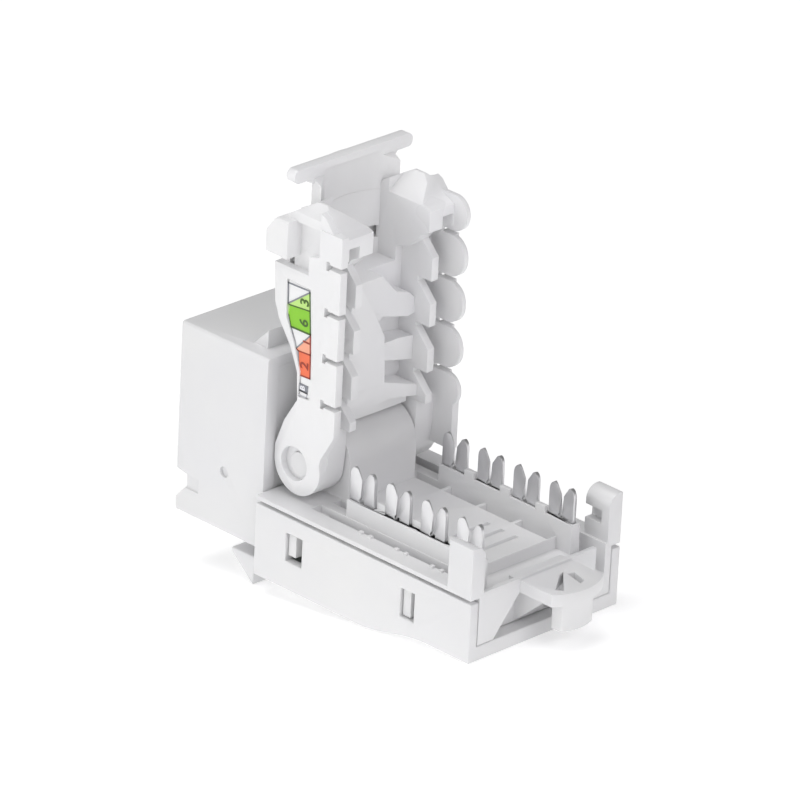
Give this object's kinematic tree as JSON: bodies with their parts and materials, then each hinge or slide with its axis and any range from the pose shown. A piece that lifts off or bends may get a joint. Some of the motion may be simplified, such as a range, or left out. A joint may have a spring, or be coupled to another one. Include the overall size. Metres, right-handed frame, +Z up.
{
  "type": "keystone jack",
  "caption": "Toolless keystone jack: white plug housing, slotted wire contacts on a rear block, and a hinged wire cap standing open with wiring code labels.",
  "frame": {"origin": "centre of the jack's width, on the plane of the plug face, level with the underside of the rear shell", "axes": "X across the jack, Y from the plug face to the cable end, Z up; the jack enters a panel towards -Y"},
  "size_m": [0.0162, 0.0369, 0.035],
  "materials": {
    "white_plastic": "smooth moulded",
    "gold_wire": "plated wire",
    "fork_metal": "tinned sheet",
    "board_green": "coated board",
    "label_print": "printed label"
  },
  "bodies": {
    "jack": {"front_housing": "white_plastic", "contact_carrier": "white_plastic", "circuit_board": "board_green", "contact_block": "white_plastic", "lower_shell": "white_plastic", "plug_contact_1": "gold_wire", "plug_contact_2": "gold_wire", "plug_contact_3": "gold_wire", "plug_contact_4": "gold_wire", "plug_contact_5": "gold_wire", "plug_contact_6": "gold_wire", "plug_contact_7": "gold_wire", "plug_contact_8": "gold_wire", "idc_contact_1": "fork_metal", "idc_contact_2": "fork_metal", "idc_contact_3": "fork_metal", "idc_contact_4": "fork_metal", "idc_contact_5": "fork_metal", "idc_contact_6": "fork_metal", "idc_contact_7": "fork_metal", "idc_contact_8": "fork_metal"},
    "cap": {"wire_cap": "white_plastic", "label_near": "label_print", "label_far": "label_print"}
  },
  "joints": [
    {"name": "lid_hinge", "type": "hinge", "parent": "jack", "child": "cap", "pos_m": [0, 0.0121, 0.00843], "axis": [-1, 0, 0], "range_deg": [0, 90]}
  ]
}
